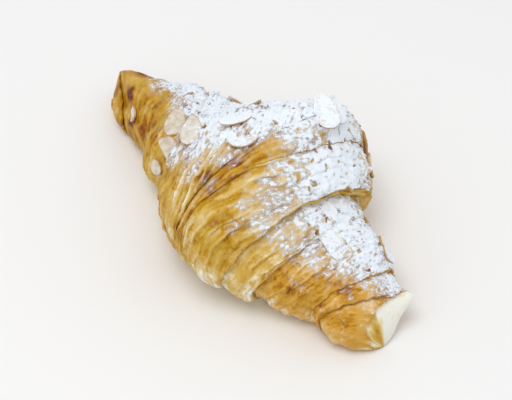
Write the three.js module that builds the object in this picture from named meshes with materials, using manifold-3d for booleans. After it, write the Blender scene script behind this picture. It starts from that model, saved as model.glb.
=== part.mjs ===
// An almond croissant: one roll of laminated dough, thick in the middle and thin at both ends, whose
// wraps lie over each other in rounded lips, with sliced almonds baked onto it. Millimetres, +Z up,
// X along the roll, origin under the middle of its box. It rests on its flat baked underside.
import * as THREE from "three";
import { ParametricGeometry } from "three/addons/geometries/ParametricGeometry.js";
import { mergeVertices } from "three/addons/utils/BufferGeometryUtils.js";
import Module from "manifold-3d";

// Roll: its two ends along X, and the half width of its arms across Y
const LEFT_END = -77.8;
const RIGHT_END = 82.6;
const ARM_HALF_WIDTH = 18.7;
const ARM_TAPER = -0.4;
const LEFT_BLUNTNESS = 2.4;
const RIGHT_BLUNTNESS = 6.6;

// Hump: how far it adds to the half width, where its middle is, and how far it runs out on each side
const HUMP_HALF_WIDTH = 22.3;
const HUMP_MIDDLE = 18.8;
const HUMP_LEFT_REACH = 31.7;
const HUMP_RIGHT_REACH = 19.8;
const HUMP_POWER = 1.8;
const HUMP_NEAR_SHIFT = 4.2;

// Section: height as a share of width, how high its middle sits, and the sideways bow of the roll
const FLATNESS = 0.78;
const SEAT = 0.82;
const BOW_OFFSET = -0.5;
const BOW_LEAN = -4.5;
const BOW_CURVE = 1.1;

// Edges of the wraps from left to right, each a ring round the roll. at is its place along X, and step the
// height of its lip, both on the back, the top, the near side and the underside. lip is 1 where the wrap
// on the left laps over the one on the right, and -1 the other way round. tuck is how far the crease lies
// back under the lip, as a share of its height.
const EDGES = [
  { at: [-70, -72, -60.5, -62], step: [1.8, 2.0, 1.6, 1.0], lip: 1, tuck: 0.2 },
  { at: [-52, -42, -32, -40], step: [1.6, 1.6, 3.4, 2.5], lip: -1, tuck: 0.15 },
  { at: [-44, -23, -10.5, -24], step: [3.0, 3.0, 4.6, 3.0], lip: -1, tuck: 0.1 },
  { at: [20, 23, 15.5, 14], step: [0.4, 0.4, 1.2, 1.2], lip: 1, tuck: 0.1 },
  { at: [25.6, 30, 19, 24], step: [1.2, 0.8, 1.4, 1.6], lip: 1, tuck: 0 },
  { at: [36, 40.7, 35, 27], step: [8.0, 5.0, 2.6, 2.6], lip: 1, tuck: -0.15 },
  { at: [44, 50, 44, 37], step: [0.6, 0.6, 4.0, 2.5], lip: 1, tuck: 0.1 },
  { at: [67, 68.6, 62.5, 63], step: [2.6, 2.2, 1.0, 1.6], lip: 1, tuck: 0 },
  { at: [73, 75, 65.5, 66], step: [2.6, 2.6, 1.8, 1.8], lip: 1, tuck: 0 },
  { at: [76, 77.6, 81.4, 81], step: [1.2, 1.6, 0.8, 0.8], lip: 1, tuck: 0.1 },
];

// Lips: how far a nose stands out, as a share of its step, and how the neighbour comes out from under it
const NOSE = 0.3;
const EMERGING_POWER = 1.8;
const TUCK_POWER = 3;

// Wraps: each swells a little across its width, and the wide ones carry shallow ridges
const SWELL = 0.9;
const SWELL_FULL_WIDTH = 15;
const RIDGE_HEIGHT = 0.35;
const RIDGE_PITCH = 6;
const RIDGE_LEAST_WIDTH = 12;

// Lumps of the baked dough: height, waves along each millimetre, waves round the roll, start
const LUMPS = [
  { height: 0.7, along: 0.11, around: 2, start: -0.8 },
  { height: 0.5, along: 0.19, around: -3, start: -0.6 },
];
const LUMP_END_POWER = 8;

// Pulls: places where the dough is drawn out or in. The first two make the left point and its sharp tip,
// and the last one the curl at the right end. x and around say where each is, long and round how far it
// reaches along X and in degrees round the roll, and pull how far it is drawn.
const PULLS = [
  { x: -70.8, around: 70, long: 8.8, round: 49, pull: [-6.6, -0.9, 0.2] },
  { x: -70.5, around: 63, long: 5.5, round: 14, pull: [-2.5, -0.1, 0.3] },
  { x: -38, around: 55, long: 18, round: 38, pull: [0, 1.6, 0.8] },
  { x: -41, around: 180, long: 9, round: 34, pull: [0, 2.4, 2.4] },
  { x: 0, around: 58, long: 18, round: 38, pull: [0, -4, 0] },
  { x: 25, around: 175, long: 7.2, round: 30, pull: [0, 2.4, 0] },
  { x: 42, around: 200, long: 8.8, round: 30, pull: [0, -1.6, 1.2] },
  { x: 50, around: 200, long: 6, round: 30, pull: [0, -2, 0] },
  { x: 61.6, around: 195, long: 5, round: 30, pull: [0, 3.2, 0] },
  { x: 77.7, around: 27, long: 2.4, round: 22, pull: [2.4, 5.6, 2.5] },
];
const PULL_END_FADE = 0.05;

// Sliced almonds. around is the angle round the roll from the back over the top. turn spins a slice from
// the roll's length, lift raises its leading end and lean rolls it about its length, all in degrees. out
// holds it off the dough where it rests on a lip, or sinks it in below 0. broken is where it is broken off
// straight across, as a share of its half length.
const SLICE_THICKNESS = 1.2;
const SLICE_TAPER = 0.22;
const SLICE_SIDES = 12;
const SLICE_HEIGHT = 0.2;
const SLICE_HELD_OUT = 0.28;
const SKIN_STEP = 1;
const SLICES = [
  { x: -26.1, around: 114, long: 13.3, wide: 8.5, turn: 137, lift: 8, lean: 2, out: 0, broken: 1 },
  { x: -7.4, around: 115, long: 13, wide: 8, turn: 132, lift: 15, lean: 17, out: 0, broken: 1 },
  { x: -15.8, around: 141, long: 10.8, wide: 10, turn: -121, lift: 0, lean: -32, out: 1.6, broken: 0.23 },
  { x: -19.8, around: 160, long: 7, wide: 5.6, turn: 88, lift: 0, lean: 0, out: 0.2, broken: 0.8 },
  { x: -52.1, around: 141, long: 7, wide: 4.5, turn: 136, lift: 0, lean: 0, out: 0, broken: 0.7 },
  { x: 8.3, around: 97.5, long: 12, wide: 8.5, turn: 28, lift: 0, lean: -14, out: 0, broken: 1 },
  { x: -0.5, around: 72, long: 10, wide: 7, turn: 20, lift: 0, lean: 0, out: 0, broken: 1 },
  { x: 22.8, around: 57.3, long: 14.6, wide: 8.6, turn: 167, lift: 0, lean: -29, out: 0.3, broken: 1 },
  { x: 22, around: 49, long: 12.4, wide: 8.6, turn: 161, lift: 0, lean: -11, out: 0.3, broken: 1 },
  { x: 18.7, around: 106, long: 10, wide: 7.5, turn: 53, lift: 0, lean: -20, out: -1.1, broken: 1 },
  { x: 54.5, around: 99, long: 14, wide: 12, turn: -93, lift: 14, lean: 0, out: -0.6, broken: 0.1 },
  { x: 64.3, around: 35, long: 7, wide: 5.5, turn: 54, lift: 8, lean: 0, out: 0, broken: 1 },
];

// More slices on the far side, drawn at random over this stretch of the roll
const FAR_SLICES = 9;
const FAR_SEED = 20;
const FAR_SPREAD = [0.1, 0.9];
const FAR_TURN = [0, 180];
const FAR_X = [-42, 62];
const FAR_AROUND = [-8, 48];
const FAR_LONG = [9, 14];
const FAR_SHAPE = 0.66;
const FAR_LIFT = [0, 14];

// Mesh: columns round the roll, rows for each wrap and for each lip
const COLUMNS = 46;
const ROW_PITCH = 2.6;
const LEAST_ROWS = 4;
const MOST_ROWS = 12;
const LIP_ROWS = 3;
const WELD = 1e-4;
const SLOPE_STEP = 0.05;

const DEGREE = Math.PI / 180;
const HALF_TURN = Math.PI;
const FULL_TURN = 2 * HALF_TURN;
const TOP = HALF_TURN / 2;
const BANDS = EDGES.length + 1;
const MIDDLE = (LEFT_END + RIGHT_END) / 2;
const HALF_LENGTH = (RIGHT_END - LEFT_END) / 2;
const ROOM_BELOW = 60;
const ROOM_AROUND = 3 * HALF_LENGTH;

// Random draws: a plain multiplying generator
const DRAW_FACTOR = 16807;
const DRAW_PERIOD = 2 ** 31 - 1;

const wasm = await Module();
wasm.setup();

// A value given on the back, top, near side and underside, carried smoothly round the roll.
function ring([back, top, near, under], around) {
  return (
    (back + top + near + under) / 4 +
    ((back - near) / 2) * Math.cos(around) +
    ((top - under) / 2) * Math.sin(around) +
    ((back + near - top - under) / 4) * Math.cos(2 * around)
  );
}

// Place along the roll, -1 at the left end and 1 at the right end.
function along(x) {
  return THREE.MathUtils.clamp((x - MIDDLE) / HALF_LENGTH, -1, 1);
}

// Half width of the smooth roll: two arms and a hump that sits further right on the near side, closed by a
// blunt round end on each side.
function halfWidth(x, around) {
  const u = along(x);
  const bluntness = u < 0 ? LEFT_BLUNTNESS : RIGHT_BLUNTNESS;
  const middle = HUMP_MIDDLE + (HUMP_NEAR_SHIFT * (1 - Math.cos(around))) / 2;
  const reach = x < middle ? HUMP_LEFT_REACH : HUMP_RIGHT_REACH;
  const hump = HUMP_HALF_WIDTH * Math.exp(-((Math.abs(x - middle) / reach) ** HUMP_POWER));
  return (ARM_HALF_WIDTH + ARM_TAPER * u + hump) * Math.sqrt(1 - Math.abs(u) ** bluntness);
}

// A point that stands rise out of the smooth roll and is slid along its length.
function onRoll(x, around, rise, slide) {
  const u = along(x);
  const low = Math.max(x - SLOPE_STEP, LEFT_END);
  const high = Math.min(x + SLOPE_STEP, RIGHT_END);
  const slope = Math.atan2(halfWidth(high, around) - halfWidth(low, around), high - low);
  const width = halfWidth(x, around) + Math.cos(slope) * rise + Math.sin(slope) * slide;
  const seat = SEAT * FLATNESS * halfWidth(x, TOP);
  const point = new THREE.Vector3(
    x - Math.sin(slope) * rise + Math.cos(slope) * slide,
    BOW_OFFSET + BOW_LEAN * u + BOW_CURVE * u * u + width * Math.cos(around),
    seat + FLATNESS * width * Math.sin(around),
  );
  const fade = Math.min((1 - Math.abs(u)) / PULL_END_FADE, 1);
  for (const { x: middle, around: angle, long, round, pull } of PULLS) {
    const from = around - angle * DEGREE;
    const turned = THREE.MathUtils.euclideanModulo(from + HALF_TURN, FULL_TURN) - HALF_TURN;
    const share = Math.exp(-(((x - middle) / long) ** 2) - (turned / (round * DEGREE)) ** 2);
    point.addScaledVector(new THREE.Vector3(...pull), fade * share);
  }
  return point;
}

function lumps(x, around) {
  const fade = 1 - Math.abs(along(x)) ** LUMP_END_POWER;
  const waves = LUMPS.map((l) => l.height * Math.sin(l.along * x + l.around * around + l.start));
  return fade * waves.reduce((sum, wave) => sum + wave, 0);
}

// Left and right edge of a wrap at an angle round the roll.
function bandSpan(band, around) {
  const left = band > 0 ? ring(EDGES[band - 1].at, around) : LEFT_END;
  const right = band < BANDS - 1 ? ring(EDGES[band].at, around) : RIGHT_END;
  return [left, right];
}

// Rise and slide of a wrap at a share of its width: it starts low and tucked in where a neighbour laps over
// it, stands half a step high where it laps over a neighbour, and swells between.
function bandRelief(band, share, around) {
  const [left, right] = bandSpan(band, around);
  const leftStep = band > 0 ? ring(EDGES[band - 1].step, around) : 0;
  const rightStep = band < BANDS - 1 ? ring(EDGES[band].step, around) : 0;
  const leftUnder = band > 0 && EDGES[band - 1].lip > 0;
  const rightUnder = band < BANDS - 1 && EDGES[band].lip < 0;
  const start = leftUnder ? -leftStep / 2 : leftStep / 2;
  const end = rightUnder ? -rightStep / 2 : rightStep / 2;
  let ease = share;
  if (leftUnder) ease = 1 - (1 - share) ** EMERGING_POWER;
  else if (rightUnder) ease = share ** EMERGING_POWER;
  const width = right - left;
  const arch = 4 * share * (1 - share);
  const ridges = width > RIDGE_LEAST_WIDTH ? Math.round(width / RIDGE_PITCH) : 0;
  const rise =
    THREE.MathUtils.lerp(start, end, ease) +
    SWELL * Math.min(width / SWELL_FULL_WIDTH, 1) * arch +
    RIDGE_HEIGHT * arch * Math.sin(FULL_TURN * ridges * share);
  const slide =
    (rightUnder ? EDGES[band].tuck * rightStep * share ** TUCK_POWER : 0) -
    (leftUnder ? EDGES[band - 1].tuck * leftStep * (1 - share) ** TUCK_POWER : 0);
  return { x: left + width * share, rise, slide };
}

// A point on a wrap.
function wrapPoint(band, share, around) {
  const { x, rise, slide } = bandRelief(band, share, around);
  return onRoll(x, around, rise + lumps(x, around), slide);
}

// A point on the rounded nose of a lip, from its upper side (bend 0) to the crease under it (bend PI).
function lipPoint(edge, bend, around) {
  const { at, step, lip, tuck } = EDGES[edge];
  const x = ring(at, around);
  const height = ring(step, around);
  const rise = (height / 2) * Math.cos(bend);
  const slide = lip * height * (NOSE * Math.sin(bend) - (tuck * (1 - Math.cos(bend))) / 2);
  return onRoll(x, around, rise + lumps(x, around), slide);
}

// Rows of the roll from end to end, each a function of the angle round it.
function rollRows() {
  const rows = [];
  for (let band = 0; band < BANDS; band++) {
    const [left, right] = bandSpan(band, TOP);
    const count = THREE.MathUtils.clamp(Math.round((right - left) / ROW_PITCH), LEAST_ROWS, MOST_ROWS);
    for (let i = 0; i <= count; i++) {
      let share = i / count;
      if (band === 0) share = 1 - Math.cos(share * TOP);
      if (band === BANDS - 1) share = Math.sin(share * TOP);
      rows.push((around) => wrapPoint(band, share, around));
    }
    if (band === BANDS - 1) continue;
    for (let i = 1; i <= LIP_ROWS; i++) {
      const bend = (HALF_TURN * i) / (LIP_ROWS + 1);
      const ordered = EDGES[band].lip > 0 ? bend : HALF_TURN - bend;
      rows.push((around) => lipPoint(band, ordered, around));
    }
  }
  return rows;
}

// A closed geometry as a solid, its shared vertices welded and the slivers at its poles dropped.
function solidOf(geometry) {
  const bare = new THREE.BufferGeometry().setAttribute("position", geometry.getAttribute("position"));
  if (geometry.index) bare.setIndex(geometry.index);
  const welded = mergeVertices(bare, WELD);
  const corners = welded.index.array;
  const kept = [];
  for (let i = 0; i < corners.length; i += 3) {
    const [a, b, c] = corners.slice(i, i + 3);
    if (a !== b && b !== c && c !== a) kept.push(a, b, c);
  }
  const vertProperties = welded.getAttribute("position").array;
  return new wasm.Manifold(new wasm.Mesh({ numProp: 3, vertProperties, triVerts: new Uint32Array(kept) }));
}

function geometryOf(solid) {
  const mesh = solid.getMesh();
  const geometry = new THREE.BufferGeometry();
  geometry.setAttribute("position", new THREE.BufferAttribute(mesh.vertProperties, 3));
  geometry.setIndex(new THREE.BufferAttribute(mesh.triVerts, 1));
  geometry.computeVertexNormals();
  return geometry;
}

function rollSolid() {
  const rows = rollRows();
  const place = (u, v, target) => {
    const row = rows[Math.round(v * (rows.length - 1))];
    target.copy(row(FULL_TURN * u));
  };
  return solidOf(new ParametricGeometry(place, COLUMNS, rows.length - 1));
}

// The point on the outside of the wraps at a place along and round the roll.
function skin(x, around) {
  const band = EDGES.filter((edge) => ring(edge.at, around) < x).length;
  const [left, right] = bandSpan(band, around);
  return wrapPoint(band, (x - left) / (right - left), around);
}

// A flat almond slice: an oval drawn in at one end, whole or broken off there, laid on the skin by its turn,
// lift and lean.
function sliceSolid({ x, around, long, wide, turn, lift, lean, out, broken }) {
  const outline = [];
  for (let i = 0; i < SLICE_SIDES; i++) {
    const angle = (FULL_TURN * i) / SLICE_SIDES;
    const kept = broken / Math.max(Math.cos(angle), broken);
    const half = (wide / 2) * (1 - SLICE_TAPER * Math.cos(angle));
    outline.push(new THREE.Vector2((long / 2) * kept * Math.cos(angle), half * kept * Math.sin(angle)));
  }
  const slice = new THREE.ExtrudeGeometry(new THREE.Shape(outline), {
    depth: SLICE_THICKNESS,
    bevelEnabled: false,
  });
  slice.translate(0, 0, -SLICE_THICKNESS / 2);
  slice.rotateX(lean * DEGREE);
  slice.rotateY(-lift * DEGREE);
  slice.rotateZ(turn * DEGREE);
  const angle = around * DEGREE;
  const foot = skin(x, angle);
  const length = skin(x + SKIN_STEP, angle).sub(skin(x - SKIN_STEP, angle)).normalize();
  const girth = skin(x, angle - DEGREE).sub(skin(x, angle + DEGREE)).normalize();
  const outward = new THREE.Vector3().crossVectors(length, girth).normalize();
  const across = new THREE.Vector3().crossVectors(outward, length);
  const standing = long * Math.sin(lift * DEGREE) + wide * Math.abs(Math.sin(lean * DEGREE));
  const raised = SLICE_HEIGHT + SLICE_HELD_OUT * standing + out;
  const seat = new THREE.Matrix4().makeBasis(length, across, outward);
  seat.setPosition(foot.addScaledVector(outward, raised));
  return solidOf(slice.applyMatrix4(seat));
}

// Slices for the far side, from a seeded generator.
function farSlices() {
  let state = FAR_SEED;
  const draw = ([low, high]) => {
    state = (state * DRAW_FACTOR) % DRAW_PERIOD;
    return low + (high - low) * (state / DRAW_PERIOD);
  };
  const slices = [];
  for (let i = 0; i < FAR_SLICES; i++) {
    const share = (i + draw(FAR_SPREAD)) / FAR_SLICES;
    const long = draw(FAR_LONG);
    slices.push({
      x: THREE.MathUtils.lerp(...FAR_X, share),
      around: draw(FAR_AROUND),
      long,
      wide: long * FAR_SHAPE,
      turn: draw(FAR_TURN),
      lift: draw(FAR_LIFT),
      lean: 0,
      out: 0,
      broken: 1,
    });
  }
  return slices;
}

// The flat underside: everything below the surface that it was baked on is cut away.
function belowFloor() {
  const box = new THREE.BoxGeometry(ROOM_AROUND, ROOM_AROUND, ROOM_BELOW);
  return solidOf(box.translate(0, 0, -ROOM_BELOW / 2));
}

let solid = rollSolid();
for (const slice of [...SLICES, ...farSlices()]) {
  solid = solid.add(sliceSolid(slice));
}
solid = solid.subtract(belowFloor());

const bakedDough = new THREE.MeshStandardMaterial({ color: 0xc79a4b, roughness: 0.6, metalness: 0 });
const croissant = new THREE.Mesh(geometryOf(solid), bakedDough);
croissant.name = "croissant";

const part = new THREE.Group();
part.add(croissant);
export default part;
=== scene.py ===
"""Looks of an almond croissant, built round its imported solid. Sizes are millimetres in the solid's own
frame: X along the roll, Y towards its far side and Z up from the surface that it lies on."""

import bpy
import numpy as np
from mathutils import Matrix, Vector


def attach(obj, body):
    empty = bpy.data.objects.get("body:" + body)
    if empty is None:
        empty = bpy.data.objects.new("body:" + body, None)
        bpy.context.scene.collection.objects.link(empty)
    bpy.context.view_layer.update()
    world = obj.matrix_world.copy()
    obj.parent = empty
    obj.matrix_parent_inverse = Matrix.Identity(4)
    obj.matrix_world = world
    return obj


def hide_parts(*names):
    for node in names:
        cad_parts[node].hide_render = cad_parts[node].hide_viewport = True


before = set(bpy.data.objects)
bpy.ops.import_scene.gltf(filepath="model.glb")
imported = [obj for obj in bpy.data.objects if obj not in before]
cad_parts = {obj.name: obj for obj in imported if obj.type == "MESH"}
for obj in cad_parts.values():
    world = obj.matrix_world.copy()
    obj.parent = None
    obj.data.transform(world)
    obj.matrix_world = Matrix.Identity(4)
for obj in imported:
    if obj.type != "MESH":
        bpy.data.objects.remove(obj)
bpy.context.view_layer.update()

# Camera, floor and light: the croissant is seen from its near right and half way up, in a picture 512
# pixels wide. The floor is plain and pale, and a broad soft lamp hangs above, a little to the near side.
MM = 0.001
PICTURE_WIDTH = 512
PIXEL_SIZE = 0.357
SENSOR = 36
CAMERA_DISTANCE = 600
CAMERA_AZIMUTH = np.radians(50)
CAMERA_ELEVATION = np.radians(45)
LOOKED_AT = Vector((14.5, -3.9, 18.9))
FLOOR_HALF = 3000
FLOOR_DROP = 0.2
FLOOR_COLOUR, FLOOR_ROUGHNESS = (0.86, 0.86, 0.86, 1), 0.9
SKY_COLOUR, SKY_STRENGTH = (1, 1, 1, 1), 0.78
LAMP_OFFSET = (60, -260, 840)
LAMP_SIZE = 500
LAMP_POWER = 2.7


def facing(toward, at):
    """A turn and a place whose -Z axis looks from the point at to the point toward, with Y kept upward."""
    turn = (Vector(at) - Vector(toward)).to_track_quat("Z", "Y")
    return Matrix.LocRotScale(Vector(at) * MM, turn, None)


def add_object(name, data):
    """A new object in the scene, at the origin."""
    made = bpy.data.objects.new(name, data)
    bpy.context.scene.collection.objects.link(made)
    return made


camera_back = Vector((
    np.sin(CAMERA_AZIMUTH) * np.cos(CAMERA_ELEVATION),
    -np.cos(CAMERA_AZIMUTH) * np.cos(CAMERA_ELEVATION),
    np.sin(CAMERA_ELEVATION),
))
camera = add_object("camera", bpy.data.cameras.new("camera"))
camera.data.sensor_width = SENSOR
camera.data.lens = SENSOR * CAMERA_DISTANCE / (PICTURE_WIDTH * PIXEL_SIZE)
camera.matrix_world = facing(LOOKED_AT, LOOKED_AT + camera_back * CAMERA_DISTANCE)
bpy.context.scene.camera = camera

lamp = add_object("lamp", bpy.data.lights.new("lamp", "AREA"))
lamp.data.shape = "DISK"
lamp.data.size = LAMP_SIZE * MM
lamp.data.energy = LAMP_POWER
lamp.matrix_world = facing(LOOKED_AT, LOOKED_AT + Vector(LAMP_OFFSET))

sky = bpy.data.worlds.new("sky")
sky.use_nodes = True
sky_light = sky.node_tree.nodes["Background"]
sky_light.inputs["Color"].default_value = SKY_COLOUR
sky_light.inputs["Strength"].default_value = SKY_STRENGTH
bpy.context.scene.world = sky
bpy.context.scene.view_settings.view_transform = "Standard"

floor_mesh = bpy.data.meshes.new("floor")
corners = np.array([(-1, -1, 0), (1, -1, 0), (1, 1, 0), (-1, 1, 0)]) * FLOOR_HALF - (0, 0, FLOOR_DROP)
floor_mesh.from_pydata((corners * MM).tolist(), [], [(0, 1, 2, 3)])
floor_paint = bpy.data.materials.new("floor")
floor_paint.use_nodes = True
floor_shader = floor_paint.node_tree.nodes["Principled BSDF"]
floor_shader.inputs["Base Color"].default_value = FLOOR_COLOUR
floor_shader.inputs["Roughness"].default_value = FLOOR_ROUGHNESS
floor_mesh.materials.append(floor_paint)
floor = add_object("floor", floor_mesh)

# Crust: one strip of laminated dough rolled up from its wide end, so that its wraps lie over each other in
# rounded lips, then brushed with egg and baked golden on a tray. It is made in four lengths that meet in
# the creases under lips: the left wraps, the crown, the right wraps and the right tip.
LEFT_END, RIGHT_END = -77.8, 82.6
ARM_HALF_WIDTH, ARM_TAPER = 18.7, -0.4
LEFT_BLUNTNESS, RIGHT_BLUNTNESS = 2.4, 6.6
HUMP_HALF_WIDTH, HUMP_MIDDLE, HUMP_NEAR_SHIFT = 22.3, 18.8, 4.2
HUMP_LEFT_REACH, HUMP_RIGHT_REACH, HUMP_POWER = 31.7, 19.8, 1.8
FLATNESS, SEAT = 0.78, 0.82
BOW_OFFSET, BOW_LEAN, BOW_CURVE = -0.5, -4.5, 1.1
SLOPE_STEP = 0.05

# Edges of the wraps from left to right, each a ring round the roll: its place along X and the height of
# its lip, on the back, the top, the near side and the underside, 1 where the left wrap laps over the right
# and -1 where the right one does, how far its crease is tucked under it, as a share of its height, and how
# much shade is painted into the crease: above 0 a painted shade that darkens it, below 0 painted light
# that makes it paler against the shade that falls there.
EDGES = [
    {"at": (-70, -72, -60.5, -62), "step": (1.8, 2.0, 1.6, 1.0), "lip": 1, "tuck": 0.2, "crease_shade": 0.4},
    {"at": (-52, -42, -32, -40), "step": (1.6, 1.6, 3.4, 2.5), "lip": -1, "tuck": 0.15, "crease_shade": 0.05},
    {"at": (-44, -23, -10.5, -24), "step": (3.0, 3.0, 4.6, 3.0), "lip": -1, "tuck": 0.1, "crease_shade": 0.12},
    {"at": (20, 23, 15.5, 14), "step": (0.4, 0.4, 1.2, 1.2), "lip": 1, "tuck": 0.1, "crease_shade": -0.05},
    {"at": (25.6, 30, 19, 24), "step": (1.2, 0.8, 1.4, 1.6), "lip": 1, "tuck": 0, "crease_shade": -0.15},
    {"at": (36, 40.7, 35, 27), "step": (8.0, 5.0, 2.6, 2.6), "lip": 1, "tuck": -0.15, "crease_shade": -0.3},
    {"at": (44, 50, 44, 37), "step": (0.6, 0.6, 4.0, 2.5), "lip": 1, "tuck": 0.1, "crease_shade": -0.1},
    {"at": (67, 68.6, 62.5, 63), "step": (2.6, 2.2, 1.0, 1.6), "lip": 1, "tuck": 0, "crease_shade": -0.3},
    {"at": (73, 75, 65.5, 66), "step": (2.6, 2.6, 1.8, 1.8), "lip": 1, "tuck": 0, "crease_shade": -0.3},
    {"at": (76, 77.6, 81.4, 81), "step": (1.2, 1.6, 0.8, 0.8), "lip": 1, "tuck": 0.1, "crease_shade": 0.12},
]
LAST_WRAP = len(EDGES)
NOSE, TUCK_POWER, EMERGING_POWER = 0.3, 3, 1.8
SWELL, SWELL_FULL_WIDTH = 0.9, 15
RIDGE_HEIGHT, RIDGE_PITCH, RIDGE_LEAST_WIDTH = 0.35, 6, 12

# Low lumps of the dough: their height, how fast the wave runs along X and round the roll, and its start.
LUMPS = [(0.7, 0.11, 2, -0.8), (0.5, 0.19, -3, -0.6)]
END_FADE_POWER = 8

# Pulls: places where the dough is drawn out or in. The first two make the left point and its sharp tip, and
# the last one the curl at the right end. x and around say where each is, long and round how far it reaches
# along X and in degrees round the roll, and pull how far it is drawn.
PULLS = [
    {"x": -70.8, "around": 70, "long": 8.8, "round": 49, "pull": (-6.6, -0.9, 0.2)},
    {"x": -70.5, "around": 63, "long": 5.5, "round": 14, "pull": (-2.5, -0.1, 0.3)},
    {"x": -38, "around": 55, "long": 18, "round": 38, "pull": (0, 1.6, 0.8)},
    {"x": -41, "around": 180, "long": 9, "round": 34, "pull": (0, 2.4, 2.4)},
    {"x": 0, "around": 58, "long": 18, "round": 38, "pull": (0, -4, 0)},
    {"x": 25, "around": 175, "long": 7.2, "round": 30, "pull": (0, 2.4, 0)},
    {"x": 42, "around": 200, "long": 8.8, "round": 30, "pull": (0, -1.6, 1.2)},
    {"x": 50, "around": 200, "long": 6, "round": 30, "pull": (0, -2, 0)},
    {"x": 61.6, "around": 195, "long": 5, "round": 30, "pull": (0, 3.2, 0)},
    {"x": 77.7, "around": 27, "long": 2.4, "round": 22, "pull": (2.4, 5.6, 2.5)},
]
PULL_END_FADE = 0.05


def ring(values, around):
    """A value given on the back, top, near side and underside, carried round the roll as their mean, one
    wave that joins opposite sides and a second wave that joins the two pairs."""
    back, top, near, under = values
    mean = (back + top + near + under) / 4
    first = (back - near) / 2 * np.cos(around) + (top - under) / 2 * np.sin(around)
    return mean + first + (back + near - top - under) / 4 * np.cos(2 * around)


def along(x):
    """Place along the roll, -1 at its left end and 1 at its right end."""
    return np.clip((2 * x - LEFT_END - RIGHT_END) / (RIGHT_END - LEFT_END), -1, 1)


def half_width(x, around):
    """Two arms and a hump that falls off as exp(-|distance / reach| ** power), closed at the ends by
    sqrt(1 - |place| ** bluntness)."""
    place = along(x)
    middle = HUMP_MIDDLE + HUMP_NEAR_SHIFT * (1 - np.cos(around)) / 2
    reach = np.where(x < middle, HUMP_LEFT_REACH, HUMP_RIGHT_REACH)
    hump = HUMP_HALF_WIDTH * np.exp(-((np.abs(x - middle) / reach) ** HUMP_POWER))
    bluntness = np.where(place < 0, LEFT_BLUNTNESS, RIGHT_BLUNTNESS)
    return (ARM_HALF_WIDTH + ARM_TAPER * place + hump) * np.sqrt(1 - np.abs(place) ** bluntness)


def bell(x, around, at, angle, reach, spread):
    """A weight that falls off from a place along X and in degrees round the roll, as exp(-distance ** 2)
    with both distances measured in reaches."""
    turned = (np.degrees(around) - angle + 180) % 360 - 180
    return np.exp(-(((x - at) / reach) ** 2) - (turned / spread) ** 2)


def on_roll(x, around, rise, slide):
    """A point that stands rise out of the roll at right angles to its slope and is slid along that slope,
    on an oval section, moved by the pulls with their bells."""
    place = along(x)
    low, high = np.maximum(x - SLOPE_STEP, LEFT_END), np.minimum(x + SLOPE_STEP, RIGHT_END)
    slope = np.arctan2(half_width(high, around) - half_width(low, around), high - low)
    width = half_width(x, around) + np.cos(slope) * rise + np.sin(slope) * slide
    seat = SEAT * FLATNESS * half_width(x, np.pi / 2)
    bow = BOW_OFFSET + BOW_LEAN * place + BOW_CURVE * place**2
    points = np.stack([
        x - np.sin(slope) * rise + np.cos(slope) * slide,
        bow + width * np.cos(around),
        seat + FLATNESS * width * np.sin(around),
    ], axis=-1)
    fade = np.minimum((1 - np.abs(place)) / PULL_END_FADE, 1)
    for pull in PULLS:
        weight = fade * bell(x, around, pull["x"], pull["around"], pull["long"], pull["round"])
        points += weight[..., None] * pull["pull"]
    return points


def end_fade(x):
    """1 along most of the roll, falling to 0 at its ends."""
    return 1 - np.abs(along(x)) ** END_FADE_POWER


def lumps(x, around):
    """Low waves of the baked dough that run round and along the roll and fade out at its ends."""
    waves = [height * np.sin(rate * x + turns * around + start) for height, rate, turns, start in LUMPS]
    return end_fade(x) * sum(waves)


def smooth(low, high, value):
    """0 below low, 1 above high and an S-shaped rise between them."""
    share = np.clip((value - low) / (high - low), 0, 1)
    return share * share * (3 - 2 * share)


NOISE_SIZE = 256
NOISE_SPREAD = 3.6


def unevenness(points, seed):
    """Gradient noise in unit cells, with a spread of about 1: each lattice corner has a random lean, and a
    point blends what the eight leans about it give at its offset t from them, by 6t^5 - 15t^4 + 10t^3."""
    draw = np.random.default_rng(seed)
    order = draw.permutation(NOISE_SIZE)
    leans = draw.normal(size=(NOISE_SIZE, 3))
    leans /= np.linalg.norm(leans, axis=1, keepdims=True)
    cell = np.floor(points).astype(int)
    offset = points - cell
    blend = offset**3 * (offset * (offset * 6 - 15) + 10)
    total = 0
    for corner in np.ndindex(2, 2, 2):
        x, y, z = np.moveaxis(cell + corner, -1, 0) % NOISE_SIZE
        lean = leans[order[(order[(order[x] + y) % NOISE_SIZE] + z) % NOISE_SIZE]]
        share = np.prod(np.where(corner, blend, 1 - blend), axis=-1)
        total = total + share * np.sum(lean * (offset - corner), axis=-1)
    return total * NOISE_SPREAD


# Torn edges: the height, cell and seed of each size of tear, and how uneven the lips are.
RAGGED = [(0.35, 15, 3), (0.2, 4.5, 4)]
STEP_VARIATION, STEP_CELL, STEP_SEED = 0.16, 9, 5
EDGE_CELLS = 7
GIRTH_RADIUS = 30
END_ROOM = 0.3


def round_the_roll(level, around, across_cell, around_cell):
    """Noise coordinates that close on themselves round the roll: a circle of the roll's mean girth."""
    circle = GIRTH_RADIUS / around_cell
    return np.stack(np.broadcast_arrays(
        level / across_cell, circle * np.cos(around), circle * np.sin(around)), axis=-1)


def edge_noise(edge, around, cell, seed):
    """Noise along an edge, whole cells away from that of other edges and half way between two corners."""
    return unevenness(round_the_roll(edge + 1 / 2, around, 1 / EDGE_CELLS, cell), seed)


def edge_place(edge, around):
    """Place along X of an edge: its ring, torn a little by two sizes of noise and kept inside the ends."""
    torn = sum(height * edge_noise(edge, around, cell, seed) for height, cell, seed in RAGGED)
    return np.clip(ring(EDGES[edge]["at"], around) + torn, LEFT_END + END_ROOM, RIGHT_END - END_ROOM)


def edge_step(edge, around):
    """Height of an edge's lip: its ring, made uneven by noise."""
    uneven = edge_noise(edge, around, STEP_CELL, STEP_SEED)
    return ring(EDGES[edge]["step"], around) * (1 + STEP_VARIATION * uneven)


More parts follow.
